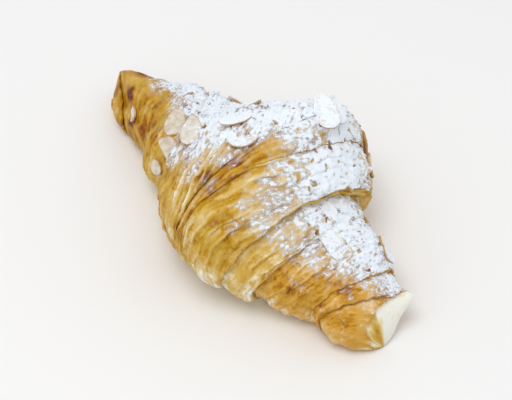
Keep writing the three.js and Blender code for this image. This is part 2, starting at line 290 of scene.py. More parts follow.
def wrap_sides(wrap, around):
    """Places along X of a wrap's left and right edge, or of the end of the roll."""
    left = LEFT_END if wrap == 0 else edge_place(wrap - 1, around)
    right = RIGHT_END if wrap == LAST_WRAP else edge_place(wrap, around)
    return left, right


def sheet(x, rise, slide, across, bend, wrap, step=0.0, crease_shade=0.0):
    """Rows of one wrap or lip, as equal arrays with a row for each line round the roll."""
    layers = {"x": x, "rise": rise, "slide": slide, "across": across, "bend": bend, "wrap": wrap,
              "step": step, "crease_shade": crease_shade}
    return dict(zip(layers, map(np.array, np.broadcast_arrays(*layers.values()))))


def wrap_rows(wrap, share, around):
    """A wrap between its two edges: low and tucked in where a neighbour laps over it, half a step high
    where it laps over a neighbour, swollen between, with shallow ridges on the wide wraps."""
    first, last = wrap == 0, wrap == LAST_WRAP
    left, right = wrap_sides(wrap, around)
    left_step = 0 if first else edge_step(wrap - 1, around)
    right_step = 0 if last else edge_step(wrap, around)
    left_under = not first and EDGES[wrap - 1]["lip"] > 0
    right_under = not last and EDGES[wrap]["lip"] < 0
    ease = share
    if left_under:
        ease = 1 - (1 - share) ** EMERGING_POWER
    elif right_under:
        ease = share**EMERGING_POWER
    start = left_step / (-2 if left_under else 2)
    end = right_step / (-2 if right_under else 2)
    width = right - left
    arch = 4 * share * (1 - share)
    ridges = np.where(width > RIDGE_LEAST_WIDTH, np.round(width / RIDGE_PITCH), 0)
    rise = start + (end - start) * ease
    rise = rise + SWELL * np.minimum(width / SWELL_FULL_WIDTH, 1) * arch
    rise = rise + RIDGE_HEIGHT * arch * np.sin(2 * np.pi * ridges * share)
    slide = 0
    if right_under:
        slide = slide + EDGES[wrap]["tuck"] * right_step * share**TUCK_POWER
    if left_under:
        slide = slide - EDGES[wrap - 1]["tuck"] * left_step * (1 - share) ** TUCK_POWER
    x = left + width * share
    return sheet(x, rise + lumps(x, around), slide, width * share, 0, wrap)


def lip_rows(edge, bend, around):
    """The rounded nose of a lip: rise is a cosine of the bend and the nose its sine, drawn back towards the
    crease by the tuck."""
    lip = EDGES[edge]["lip"]
    left, x = wrap_sides(edge, around)
    step = edge_step(edge, around)
    rise = step / 2 * np.cos(bend) + lumps(x, around)
    slide = lip * step * (NOSE * np.sin(bend) - EDGES[edge]["tuck"] * (1 - np.cos(bend)) / 2)
    owner = edge if lip > 0 else edge + 1
    across = (x - left if lip > 0 else 0) + lip * step * bend / 2
    return sheet(x, rise, slide, across, bend, owner, step, EDGES[edge]["crease_shade"])


HIDDEN_DEPTH = 2.5
HIDDEN_REACH = 1.5


def hidden_row(edge, wrap, around):
    """One row out of sight under a lip, where a length of the crust turns in towards the axis."""
    lip = EDGES[edge]["lip"]
    x, step = edge_place(edge, around), edge_step(edge, around)
    rise = lumps(x, around) - step / 2 - HIDDEN_DEPTH
    covered = (wrap > edge) == (lip > 0)
    slide = -lip * (EDGES[edge]["tuck"] * step + covered * HIDDEN_REACH)
    return sheet(x[None], rise[None], slide[None], 0, np.pi, wrap)


# Wraps from left to right: how far each is baked, from 0 for raw dough to 1 for burnt, on the back, the
# top, the near side and the underside, how strongly its layers flake, and how amber its glaze is.
WRAPS = [
    {"bake": (0.74, 0.74, 0.74, 0.62), "flaky": 0.25, "amber": 0.2},
    {"bake": (0.74, 0.77, 0.75, 0.66), "flaky": 0.7, "amber": 0.2},
    {"bake": (0.72, 0.83, 0.54, 0.36), "flaky": 0.8, "amber": 0},
    {"bake": (0.68, 0.81, 0.68, 0.66), "flaky": 1.0, "amber": 0},
    {"bake": (0.70, 0.74, 0.62, 0.36), "flaky": 0.8, "amber": 0.3},
    {"bake": (0.62, 0.69, 0.50, 0.31), "flaky": 1.0, "amber": 0},
    {"bake": (0.56, 0.72, 0.40, 0.20), "flaky": 1.0, "amber": 0},
    {"bake": (0.64, 0.66, 0.55, 0.30), "flaky": 1.0, "amber": 0.8},
    {"bake": (0.60, 0.72, 0.70, 0.44), "flaky": 0.6, "amber": 1},
    {"bake": (0.50, 0.56, 0.61, 0.48), "flaky": 0.35, "amber": 1},
    {"bake": (0.0, 0.0, 0.36, 0.50), "flaky": 0.2, "amber": 0},
]
WRAP_SPACING = 100

# Torn flakes of two sizes: their cells across and along a wrap, how far they stand up and tilt, and how
# much some of them are browner.
FLAKES = [
    {"cells": (4.6, 15), "step": 0.6, "tilt": 1.0, "brown": 0.13, "seed": 11},
    {"cells": (1.9, 6.5), "step": 0.2, "tilt": 0.4, "brown": 0.07, "seed": 17},
]
FLAKE_WARP, FLAKE_EDGE, FLAKE_EDGE_BROWN = 0.22, 0.1, 0.08
FLAKE_NUMBERS = 5
PLEAT_HEIGHT, PLEAT_CURVE, PLEAT_SINK = 1.15, 1.5, 0.3
PLEAT_PITCH, PLEAT_DROP, LAST_PLEATS = 2.9, 0.13, 1
PLEAT_CREST, PLEAT_NOTCH = 3 * PLEAT_DROP, 1.5 * PLEAT_DROP
# Pleats' notches are darkened by browner dough and painted shade, and their crests paled by a painted
# highlight.
PLEAT_NOTCH_BROWN_AND_SHADE, PLEAT_CREST_HIGHLIGHT = 0.2, 0.27
PLEAT_WANDER, PLEAT_WANDER_CELLS, PLEAT_WANDER_SEED = 0.35, (9, 26), 15
PLEAT_FADE, PLEAT_FADE_CELLS, PLEAT_FADE_SEED = (-0.6, 0.9), (4, 17), 16
STREAK_HEIGHT, STREAK_CELLS, STREAK_SEED = 0.17, (1.05, 10), 12
BLISTER_HEIGHT, BLISTER_LEVEL, BLISTER_CELL, BLISTER_SEED = 0.42, 0.35, 3.6, 13
CRUMB_HEIGHT, CRUMB_CELL, CRUMB_SEED = 0.05, 0.95, 14
TRAY_SIDE, TRAY_FLATTENING = (185, 225, 300, 330), 0.8
TIP_SMOOTH, TIP_FLAKY = (-62, -30), 0.25


def of_wrap(rows, key):
    """A value of the wrap that each point belongs to."""
    return np.array([wrap[key] for wrap in WRAPS])[rows["wrap"]]


def layer_level(rows):
    """Distance across the layers of a wrap, with the wraps set far apart so that their patterns differ."""
    return rows["across"] + WRAP_SPACING * rows["wrap"]


def layer_noise(rows, around, cells, seed):
    """Noise that follows the layers, with cells of one size across a wrap and another size along it."""
    return unevenness(round_the_roll(layer_level(rows), around, *cells), seed)


def flakes(level, around, cells, seed):
    """Torn flakes of dough: each point belongs to the nearest of random middles, one in each cell of a
    warped grid. Gives two random numbers of the flake, the tilt across it and the gap to the next nearest
    middle."""
    columns = round(2 * np.pi * GIRTH_RADIUS / cells[1])
    table = np.random.default_rng(seed).random((NOISE_SIZE, columns, FLAKE_NUMBERS))
    warp = round_the_roll(level, around, cells[0] / 2, cells[1] / 3)
    across, turned = np.broadcast_arrays(level / cells[0], around / (2 * np.pi) * columns)
    across = across + FLAKE_WARP * unevenness(warp, seed)
    turned = turned + FLAKE_WARP * unevenness(warp, seed + 1)
    nearest, second = np.full(across.shape, np.inf), np.full(across.shape, np.inf)
    flake = np.zeros((*across.shape, 3))
    for row_step, column_step in np.ndindex(3, 3):
        row = np.floor(across).astype(int) + row_step - 1
        column = np.floor(turned).astype(int) + column_step - 1
        drawn = table[row % NOISE_SIZE, column % columns]
        off = across - row - drawn[..., 0]
        away = np.hypot(off, turned - column - drawn[..., 1])
        closer = away < nearest
        second = np.where(closer, nearest, np.minimum(second, away))
        nearest = np.where(closer, away, nearest)
        tilted = np.stack([drawn[..., 2], drawn[..., 3], (drawn[..., 4] - 1 / 2) * off], axis=-1)
        flake = np.where(closer[..., None], tilted, flake)
    return flake[..., 0], flake[..., 1], flake[..., 2], second - nearest


def on_tray(around):
    """1 on the underside that was baked against the tray, 0 elsewhere."""
    angle = np.degrees(around) % 360
    enter, full, leave, clear = TRAY_SIDE
    return smooth(enter, full, angle) * (1 - smooth(leave, clear, angle))


def mottling(x):
    """How uneven the baking is: little at the smooth left tip, and fully on the rest."""
    return TIP_FLAKY + (1 - TIP_FLAKY) * smooth(*TIP_SMOOTH, x)


def pleats(rows, around):
    """Edges of the thin layers that a wrap is made of: a saw tooth across the wrap that climbs towards its
    lip and drops, wandering and fading along the wrap. On the last wrap, which has no lip, it climbs to
    the right. Gives the height, the crests and the notches."""
    lips = np.array([edge["lip"] for edge in EDGES] + [LAST_PLEATS])[rows["wrap"]]
    wander = PLEAT_WANDER * layer_noise(rows, around, PLEAT_WANDER_CELLS, PLEAT_WANDER_SEED)
    tooth = (lips * rows["across"] / PLEAT_PITCH + wander) % 1
    shown = smooth(*PLEAT_FADE, layer_noise(rows, around, PLEAT_FADE_CELLS, PLEAT_FADE_SEED))
    drop = smooth(1 - PLEAT_DROP, 1, tooth)
    crest = smooth(1 - PLEAT_CREST, 1 - PLEAT_DROP, tooth) * (1 - drop)
    notch = 1 - smooth(0, PLEAT_NOTCH, tooth)
    height = PLEAT_HEIGHT * shown * (tooth**PLEAT_CURVE * (1 - drop) - PLEAT_SINK)
    return height, shown * crest, shown * notch


def baked_relief(rows, around, points):
    """Height that baking adds to the crust: pleats, two sizes of torn flakes, fine streaks along the wrap,
    blisters where a noise passes a level, and a fine crumb. Also how much darker the pleats' notches are,
    partly browner dough and partly painted shade, how much browner some flakes and all torn edges are, and
    how much paler the pleats' crests are, a painted highlight."""
    flaky = of_wrap(rows, "flaky") * (1 - TRAY_FLATTENING * on_tray(around)) * end_fade(rows["x"])
    flaky = flaky * mottling(rows["x"])
    streaks = layer_noise(rows, around, STREAK_CELLS, STREAK_SEED)
    blisters = np.maximum(unevenness(points / BLISTER_CELL, BLISTER_SEED) - BLISTER_LEVEL, 0)
    crumb = unevenness(points / CRUMB_CELL, CRUMB_SEED)
    pleated, crests, notches = pleats(rows, around)
    height = pleated + STREAK_HEIGHT * streaks + BLISTER_HEIGHT * blisters + CRUMB_HEIGHT * crumb
    # Painted shade in the pleats' notches and a painted highlight on their crests.
    tones_light_and_shade = PLEAT_NOTCH_BROWN_AND_SHADE * notches - PLEAT_CREST_HIGHLIGHT * crests
    for size in FLAKES:
        layer, tone, tilt, gap = flakes(layer_level(rows), around, size["cells"], size["seed"])
        height = height + size["step"] * (layer - 1 / 2) + size["tilt"] * tilt
        tones_light_and_shade = tones_light_and_shade + size["brown"] * (2 * tone - 1)
        tones_light_and_shade = tones_light_and_shade + FLAKE_EDGE_BROWN * (1 - smooth(0, FLAKE_EDGE, gap))
    return flaky * height, flaky * tones_light_and_shade


# Scorched and pale places from left to right: where along X and in degrees round the roll, their reach in
# millimetres and degrees, and how much more they are baked. The one at -57 and 107 degrees is not a
# scorch but a thin painted shade along the crease under the flap at the left end.
BAKED_AND_SHADED_PLACES = [
    (-64.0, 112, 2.6, 8, 0.20),
    (-61.0, 88, 7.0, 16, -0.14),
    (-60.2, 122, 3.2, 8, 0.28),
    # A painted shade along the crease under the flap at the left end.
    (-57.0, 107, 6.5, 4, 0.16),
    (-52.7, 168, 4.0, 10, 0.26),
    (-50.0, 128, 10.0, 14, -0.08),
    (-7.0, 161, 3.0, 6, 0.22),
    (0.0, 159, 10.0, 12, -0.16),
    (4.0, 197, 6.0, 9, 0.28),
    (18.5, 130, 4.0, 7, 0.24),
    (30.0, 205, 24.0, 18, -0.08),
    (30.6, 170, 4.0, 8, 0.08),
    (31.5, 149, 4.0, 7, 0.12),
    (44.5, 163, 3.5, 8, 0.10),
    (47.0, 196, 7.0, 14, -0.20),
    (49.7, 143, 2.5, 5, -0.24),
    (53.4, 148, 3.0, 5, 0.20),
    (53.9, 158, 2.2, 5, 0.26),
    (64.0, 130, 4.0, 10, -0.15),
    (74.0, 192, 9.0, 18, -0.16),
    (76.4, 96, 2.2, 12, -0.34),
    (79.0, 162, 4.0, 12, -0.20),
    (80.4, 107, 1.5, 11, 0.42),
    (82.3, 128, 2.0, 28, 0.50),
]
BLOTCH_BROWN, BLOTCH_CELL, BLOTCH_SEED = 0.1, 7, 21
BAKE_STREAK_BROWN, BAKE_STREAK_PALE = 0.07, 0.17
BAKE_STREAK_CELLS, BAKE_STREAK_SEED = (2.0, 24), 22
MOST_BROWNER = 0.13
CREASE_SHADE_BENDS = (0.45 * np.pi, 0.85 * np.pi)


def places_sum(places, x, around):
    """Sum of the amounts of a list of places, each with its bell."""
    return sum(amount * bell(x, around, *place) for *place, amount in places)


def browning_and_shade(rows, around, points, torn):
    """How far the crust is baked, with shade and light painted into it: its wrap's ring of values and the
    baked places, one of which is a painted shade, blotched, streaked along the wrap more with pale than with
    brown, browner or paler where its layers are torn, darker with painted shade in the pleats' notches and
    paler with a painted highlight on their crests, and darker with painted shade in the creases under the
    lips, where an amount below 0 is painted light that makes them paler."""
    rings = np.stack([ring(wrap["bake"], around) for wrap in WRAPS])
    bake = np.take_along_axis(rings, rows["wrap"], axis=0) + places_sum(BAKED_AND_SHADED_PLACES, rows["x"], around)
    streaks = layer_noise(rows, around, BAKE_STREAK_CELLS, BAKE_STREAK_SEED)
    streaked = BAKE_STREAK_BROWN * np.maximum(-streaks, 0) - BAKE_STREAK_PALE * np.maximum(streaks, 0)
    # The torn value carries the flakes' tones and the pleats' painted shade and painted highlight.
    uneven = torn + streaked + BLOTCH_BROWN * unevenness(points / BLOTCH_CELL, BLOTCH_SEED)
    # Painted shade in the creases under the lips, and painted light where its amount is below 0.
    crease_shade = rows["crease_shade"] * smooth(*CREASE_SHADE_BENDS, rows["bend"])
    return bake + np.minimum(uneven, MOST_BROWNER) + crease_shade


# Sugar sieved over the crust: at places along X, the degrees round the roll down to which it is dense and
# past which it is bare on the near side, how it thins out at the ends and down the far side, how far a
# face has to look up to hold it, and the lips that it slides off.
DUST_X = (-64, -52, -44, -32, -20, -8, 4, 12, 20, 25, 29, 32, 36, 50, 58, 66, 74, 80)
DUST_DENSE = (40, 34, 38, 72, 74, 98, 104, 102, 74, 54, 54, 62, 70, 74, 54, 40, 32, 34)
DUST_BARE = (80, 108, 104, 122, 124, 154, 142, 148, 130, 112, 120, 144, 148, 148, 148, 122, 120, 110)
DUST_END_X, DUST_END = (-63, -55, 70, 75, 78), (0, 1, 1, 0.7, 0)
DUST_FAR_ANGLES, DUST_FAR = (-5, 46), (0.1, 1)
DUST_UP, STRAY_UP, STRAY_SHARE = (0.0, 0.4), (0.1, 0.6), 0.03
DUST_BENDS, DUST_SLIPS = (0.15 * np.pi, 0.4 * np.pi), (1.0, 2.6)
DUST_LEAST, DUST_MOST = 0.012, 0.96
DUST_WANDER, DUST_WANDER_CELL, DUST_WANDER_SEED = 0.14, 9, 31
DUST_THICKNESS, DUST_RISE = 0.2, (-0.5, 0.8)
LOG_ODDS_SPREAD = 1.7
CLUMPS = [(0.4, 1.6, 33), (0.3, 5.0, 35)]
DRAWN_OUT, DRAWN_OUT_CELLS, DRAWN_OUT_SEED = 0.5, (0.75, 3.4), 34
CRACK_CELL, CRACK_SEED, CRACK_LEVELS, CRACK_SHARES = 2.1, 168, (0.88, 1.12), (0.55, 0.85)
# The depth of the cracks, and the painted shade that darkens the dough in them.
CRACK_DEPTH, CRACK_SHADE = 2.1, 0.36
HEAP_HEIGHT, HEAP_CELL, HEAP_SEED = 0.3, 3.4, 37

# Places where the sugar has come off or lies thicker, given like the baked places: how much less of the
# crust it covers there.
WORN_PLACES = [
    (-50.1, 81, 3.5, 9, 0.45),
    (-40.9, 47, 3.0, 9, 0.70),
    (-11.9, 124, 3.0, 5, 0.40),
    (1.0, 79, 2.5, 4, 0.35),
    (7.3, 79, 3.0, 5, 0.70),
    (12.6, 99, 3.2, 6, 0.55),
    (15.0, 118, 3.5, 6, 0.45),
    (17.6, 129, 2.5, 4, 0.30),
    (18.1, 64, 2.5, 5, 0.30),
    (19.8, 136, 3.0, 5, -0.25),
    (22.4, 107, 2.0, 4, -0.20),
    (26.9, 96, 3.0, 6, 0.30),
    (28.8, 64, 2.0, 4, 0.80),
    (33.5, 104, 2.5, 5, 0.35),
    (35.5, 88, 2.5, 5, -0.20),
    (40.3, 85, 2.5, 5, 0.35),
    (54.4, 105, 3.0, 6, 0.35),
    (71.9, 100, 2.5, 10, 0.45),
]


def outward(points):
    """Unit normals of rows of points, from the differences along and across the rows."""
    round_it = np.roll(points, -1, axis=1) - np.roll(points, 1, axis=1)
    normal = np.cross(round_it, np.gradient(points, axis=0))
    return normal / np.maximum(np.linalg.norm(normal, axis=-1, keepdims=True), 1e-9)


def covered_share(x, around, up, points):
    """Share of the surface that sugar covers: nearly all where it looks up, thinning out down the near side
    between two angles, and hardly any where it looks down. A few strays lie wherever it looks up."""
    angle = (np.degrees(around) + 90) % 360 - 90
    dense, bare = np.interp(x, DUST_X, DUST_DENSE), np.interp(x, DUST_X, DUST_BARE)
    wander = DUST_WANDER * unevenness(points / DUST_WANDER_CELL, DUST_WANDER_SEED)
    share = np.clip((bare - angle) / (bare - dense) + wander, 0, 1)
    share = share * np.interp(x, DUST_END_X, DUST_END) * smooth(*DUST_UP, up)
    share = share * np.interp(angle, DUST_FAR_ANGLES, DUST_FAR)
    return np.clip(share + STRAY_SHARE * smooth(*STRAY_UP, up), DUST_LEAST, DUST_MOST)


def sugar_level(share, points):
    """A level that is above 0 where sugar covers: the log odds of the share that it covers, and clumps of
    two sizes, given by their height, cell and seed. The finish adds finer ones."""
    clumps = sum(height * unevenness(points / cell, seed) for height, cell, seed in CLUMPS)
    return np.log(share / (1 - share)) / LOG_ODDS_SPREAD + clumps


def dusting(rows, around, points, normal):
    """Level of the sugar on the crust, with clumps that are drawn out a little along the wrap. It slides
    off the lips. Also the bare cracks between its heaps, where a noise falls below a level."""
    worn = places_sum(WORN_PLACES, rows["x"], around)
    share = covered_share(rows["x"], around, normal[..., 2], points) - worn
    share = share * (1 - smooth(*DUST_BENDS, rows["bend"]) * smooth(*DUST_SLIPS, rows["step"]))
    share = np.clip(share, DUST_LEAST, DUST_MOST)
    cracks = smooth(*CRACK_LEVELS, -unevenness(points / CRACK_CELL, CRACK_SEED))
    cracks = cracks * smooth(*CRACK_SHARES, share)
    drawn_out = DRAWN_OUT * layer_noise(rows, around, DRAWN_OUT_CELLS, DRAWN_OUT_SEED)
    return sugar_level(share, points) + drawn_out - CRACK_DEPTH * cracks, cracks


class Wire:
    """An output of a shader node. Sums and products of wires add Math nodes to their tree."""

    def __init__(self, tree, socket=None):
        self.tree = tree
        self.socket = socket

    def make(self, kind, settings=None, inputs=None, output=0):
        """Adds a node of that kind, sets its settings first and then the values or links of its sockets."""
        node = self.tree.nodes.new(kind)
        for name, value in (settings or {}).items():
            if name == "stops":
                elements = node.color_ramp.elements
                for place, colour in value[len(elements):]:
                    elements.new(place)
                for element, (place, colour) in zip(elements, value):
                    element.position, element.color = place, colour
            else:
                setattr(node, name, value)
        for key, value in (inputs or {}).items():
            if isinstance(value, Wire):
                self.tree.links.new(value.socket, node.inputs[key])
            else:
                node.inputs[key].default_value = value
        return Wire(self.tree, node.outputs[output])

    def combine(self, operation, first, second):
        """A Math node on two wires or numbers."""
        return self.make("ShaderNodeMath", {"operation": operation}, {0: first, 1: second})

    def __add__(self, other):
        return self.combine("ADD", self, other)

    def __sub__(self, other):
        return self.combine("SUBTRACT", self, other)

    def __rsub__(self, other):
        return self.combine("SUBTRACT", other, self)

    def __mul__(self, other):
        return self.combine("MULTIPLY", self, other)

    __radd__ = __add__
    __rmul__ = __mul__

    def between(self, low, high):
        """0 below low, 1 above high and an S-shaped rise between them."""
        settings = {"interpolation_type": "SMOOTHSTEP"}
        return self.make("ShaderNodeMapRange", settings, {"Value": self, "From Min": low, "From Max": high})

    def mix(self, first, second, blend="MIX"):
        """The first colour taken towards the second one by this share. A Mix node has its share in socket
        0, its colours in sockets 6 and 7 and the mixed colour in output 2."""
        settings = {"data_type": "RGBA", "blend_type": blend}
        return self.make("ShaderNodeMix", settings, {0: self, 6: first, 7: second}, output=2)

    def attribute(self, name, output="Fac"):
        """A value that is stored at the points of the mesh."""
        return self.make("ShaderNodeAttribute", {"attribute_name": name}, output=output)

    def noise(self, vector, cell, detail=2):
        """Noise from 0 to 1 with cells of that size in the vector's own unit."""
        inputs = {"Vector": vector, "Scale": 1 / cell, "Detail": detail}
        return self.make("ShaderNodeTexNoise", None, inputs)

    def feed(self, name):
        """Links this output to a socket of the tree's shader."""
        self.tree.links.new(self.socket, self.tree.nodes["Principled BSDF"].inputs[name])


def begin_finish(name):
    """A new material, a pen for its nodes and the place of each point in the frame of the solid."""
    material = bpy.data.materials.new(name)
    material.use_nodes = True
    pen = Wire(material.node_tree)
    return material, pen, pen.make("ShaderNodeTexCoord", output="Object")


def paint(red, green, blue):
    """A display colour from 0 to 255 as the linear values that a shader takes, by the sRGB curve."""
    display = np.array([red, green, blue]) / 255
    linear = np.where(display > 0.04045, ((display + 0.055) / 1.055) ** 2.4, display / 12.92)
    return (*linear.tolist(), 1)


NOISE_MEAN = 0.5
SUGAR_COLOUR = paint(236, 243, 251)
HAZE, HAZE_RANGE = 0.42, (-2.0, 0.4)
FRAY, FRAY_EDGE = 5.2, (-0.2, 0.2)
SPECK_FRAY, SPECK_CELL = 2.4, 0.38
BROKEN_CELL, BROKEN_RANGE = 6, (0.46, 0.6)
HOLE_SHARE, HOLE_RANGE = 0.85, (0.35, 0.41)
GAP_SHADE_SHARE, GAP_SHADE_RANGE = 0.7, (0.3, 1.3)
POWDER_HEIGHT, SPECK_HEIGHT = 0.7, 0.5


def sugar_over(pen, bare, place, powder, holes, gap_shade_colour):
    """A colour under a thin haze of sugar and under sugar that frays into fine clumps, the share that the
    clumps cover and their height. powder is the noise that frays them, holes the one that breaks them, and
    the last argument a colour of painted shade for the gaps of dense sugar."""
    sugar = pen.attribute("sugar")
    specks = pen.noise(place, SPECK_CELL * MM)
    frayed = sugar + FRAY * (powder - NOISE_MEAN) + SPECK_FRAY * (specks - NOISE_MEAN)
    broken = pen.noise(place, BROKEN_CELL * MM).between(*BROKEN_RANGE)
    cover = frayed.between(*FRAY_EDGE) * (1 - HOLE_SHARE * broken * (1 - holes.between(*HOLE_RANGE)))
    # Painted shade in the gaps of dense sugar.
    shaded = (GAP_SHADE_SHARE * sugar.between(*GAP_SHADE_RANGE)).mix(bare, gap_shade_colour)
    hazy = (HAZE * sugar.between(*HAZE_RANGE)).mix(shaded, SUGAR_COLOUR)
    height = cover + POWDER_HEIGHT * powder + SPECK_HEIGHT * specks
    return cover.mix(hazy, SUGAR_COLOUR), cover, height


# Colours of the dough by how far it is baked, from raw to burnt, of its buttery places, of its amber
# glaze and of the painted shade in the gaps of dense sugar, then how each of its patterns and its sugar is
# spread.
BAKED_COLOURS = [
    (0.00, paint(240, 239, 228)),
    (0.22, paint(228, 208, 158)),
    (0.45, paint(212, 176, 94)),
    (0.62, paint(198, 152, 42)),
    (0.71, paint(180, 136, 12)),
    (0.81, paint(166, 111, 4)),
    (0.92, paint(132, 70, 4)),
    (1.00, paint(98, 42, 2)),
]
BUTTER_COLOUR = paint(206, 170, 74)
AMBER_TINT = paint(255, 240, 222)
# Painted shade that shows in the gaps of dense sugar.
GAP_SHADE_COLOUR = paint(126, 64, 50)
BUTTER_SHARE, BUTTER_CELL, BUTTER_RANGE, BUTTER_TONES = 0.55, 8, (0.46, 0.62), (0.1, 0.4)
TONE_STREAK, TONE_STREAK_CELL, TONE_STREAK_SCALE = 0.55, 0.7, (1, 0.12, 0.12)
TONE_SPECK, TONE_SPECK_CELL = 0.3, 0.45
TONE_BLOTCH, TONE_BLOTCH_CELL = 0.3, 2.2
FRAY_SCALE, FRAY_CELL, HOLE_CELL = (1, 0.45, 0.45), 0.75, 1.1
CRUST_ROUGHNESS, BLOTCH_ROUGHNESS, DUST_ROUGHNESS = 0.36, 0.2, 0.4
CRUST_SPECULAR, CRUST_COAT, COAT_ROUGHNESS = 0.15, 0.1, 0.25
BUMP_SPECK, BUMP_STREAK, BUMP_POWDER = 0.4, 0.9, 1.2
CRUST_BUMP, CRUST_BUMP_DEPTH = 0.8, 0.2


def crust_finish():
    """Baked dough coloured by how far it is baked and by the shade and light painted into that value, glossy
    from the egg, under matt sugar with frayed edges, with painted shade in the gaps of dense sugar. Its
    streaks and the sugar's clumps are drawn out along the wraps."""
    material, pen, place = begin_finish("crust")
    grain = pen.attribute("grain", "Vector")
    streaked = pen.make("ShaderNodeMapping", None, {"Vector": grain, "Scale": TONE_STREAK_SCALE})
    streaks = pen.noise(streaked, TONE_STREAK_CELL)
    specks = pen.noise(place, TONE_SPECK_CELL * MM, detail=3)
    blotches = pen.noise(place, TONE_BLOTCH_CELL * MM, detail=4)
    uneven = TONE_STREAK * (streaks - NOISE_MEAN) + TONE_SPECK * (specks - NOISE_MEAN)
    uneven = uneven + TONE_BLOTCH * (blotches - NOISE_MEAN)
    # The attribute holds how far the dough is baked, with painted shade in creases, notches and cracks and a
    # painted highlight on crests.
    tone = pen.attribute("bake") + pen.attribute("mottle") * uneven
    crust = pen.make("ShaderNodeValToRGB", {"stops": BAKED_COLOURS}, {0: tone})
    butter = BUTTER_SHARE * pen.noise(place, BUTTER_CELL * MM, detail=3).between(*BUTTER_RANGE)
    crust = (butter * tone.between(*BUTTER_TONES)).mix(crust, BUTTER_COLOUR)
    crust = pen.attribute("amber").mix(crust, AMBER_TINT, "MULTIPLY")
    flecked = pen.make("ShaderNodeMapping", None, {"Vector": grain, "Scale": FRAY_SCALE})
    frays, holes = pen.noise(flecked, FRAY_CELL, detail=4), pen.noise(flecked, HOLE_CELL, detail=3)
    colour, sugar, powder = sugar_over(pen, crust, place, frays, holes, GAP_SHADE_COLOUR)
    height = BUMP_SPECK * specks + BUMP_STREAK * streaks + BUMP_POWDER * powder
    bump = {"Strength": CRUST_BUMP, "Distance": CRUST_BUMP_DEPTH * MM, "Height": height}
    colour.feed("Base Color")
    (CRUST_ROUGHNESS + BLOTCH_ROUGHNESS * blotches + DUST_ROUGHNESS * sugar).feed("Roughness")
    (CRUST_COAT - CRUST_COAT * sugar).feed("Coat Weight")
    pen.make("ShaderNodeBump", None, bump).feed("Normal")
    shader = material.node_tree.nodes["Principled BSDF"]
    shader.inputs["Specular IOR Level"].default_value = CRUST_SPECULAR
    shader.inputs["Coat Roughness"].default_value = COAT_ROUGHNESS
    return material


def fill_mesh(mesh, points, *faces):
    """Puts points in millimetres and arrays of faces, each array with one number of corners, into a mesh."""
    corners = np.concatenate([face.ravel() for face in faces])
    sizes = np.concatenate([np.full(len(face), face.shape[1]) for face in faces])
    mesh.vertices.add(len(points))
    mesh.vertices.foreach_set("co", (points * MM).astype(np.float32).ravel())
    mesh.loops.add(len(corners))
    mesh.loops.foreach_set("vertex_index", corners.astype(np.int32))
    mesh.polygons.add(len(sizes))
    mesh.polygons.foreach_set("loop_start", (np.cumsum(sizes) - sizes).astype(np.int32))
    mesh.polygons.foreach_set("use_smooth", np.ones(len(sizes), bool))
    mesh.update(calc_edges=True)
    mesh.validate()


def spread_value(mesh, title, value):
    """Stores a number or a vector for each point of a mesh."""
    kind, field = ("FLOAT", "value") if value.shape[1] == 1 else ("FLOAT_VECTOR", "vector")
    attribute = mesh.attributes.new(title, kind, "POINT")
    attribute.data.foreach_set(field, value.astype(np.float32).ravel())


def closed_mesh(name, rows, ends, values):
    """A mesh from rows of points round the roll: quads join neighbouring rows, and a fan to one point closes
    each end. values are numbers or vectors at the same points."""
    count, columns = rows.shape[:2]
    points = np.concatenate([rows.reshape(-1, 3), ends])
    number = np.arange(count * columns).reshape(count, columns)
    beside = np.roll(number, -1, axis=1)
    quads = np.stack([number[:-1], beside[:-1], beside[1:], number[1:]], axis=-1).reshape(-1, 4)
    left = np.stack(np.broadcast_arrays(count * columns, beside[0], number[0]), axis=-1)
    right = np.stack(np.broadcast_arrays(count * columns + 1, number[-1], beside[-1]), axis=-1)
    mesh = bpy.data.meshes.new(name)
    fill_mesh(mesh, points, quads, np.concatenate([left, right]))
    for title, value in values.items():
        flat = value.reshape(count * columns, -1)
        spread_value(mesh, title, np.concatenate([flat, flat[:1], flat[-1:]]))
    return mesh


# Lengths of the crust: the wraps of each, the rows of points on each wrap and the points in a row.
LENGTHS = [
    {"name": "left_wraps", "columns": 480, "rows": (48, 72, 50), "wraps": (0, 1, 2)},
    {"name": "crown", "columns": 550, "rows": (114, 16), "wraps": (3, 4)},
    {"name": "right_wraps", "columns": 470, "rows": (48, 28, 62), "wraps": (5, 6, 7)},
    {"name": "right_tip", "columns": 440, "rows": (24, 50, 24), "wraps": (8, 9, 10)},
]
TOP_CROWDING = 0.3
LIP_ROW_PITCH, LIP_LEAST_ROWS = 0.4, 4


def angles(columns):
    """Angles round the roll, crowded towards the top."""
    turn = 2 * np.pi * np.arange(columns) / columns
    return turn + TOP_CROWDING * np.cos(turn)


def bends(edge):
    """Bends down a lip, a row for each part of its height."""
    count = LIP_LEAST_ROWS + int(np.pi / 2 * max(EDGES[edge]["step"]) / LIP_ROW_PITCH)
    bend = np.linspace(0, np.pi, count + 2)[1:-1, None]
    return bend if EDGES[edge]["lip"] > 0 else bend[::-1]


def shares(wrap, count):
    """Shares of a wrap's width, drawn together towards the ends of the roll."""
    if wrap == 0:
        return 1 - np.cos(np.linspace(1 / count, 1, count) * np.pi / 2)[:, None]
    if wrap == LAST_WRAP:
        return np.sin(np.linspace(0, 1 - 1 / count, count) * np.pi / 2)[:, None]
    return np.linspace(0, 1, count)[:, None]


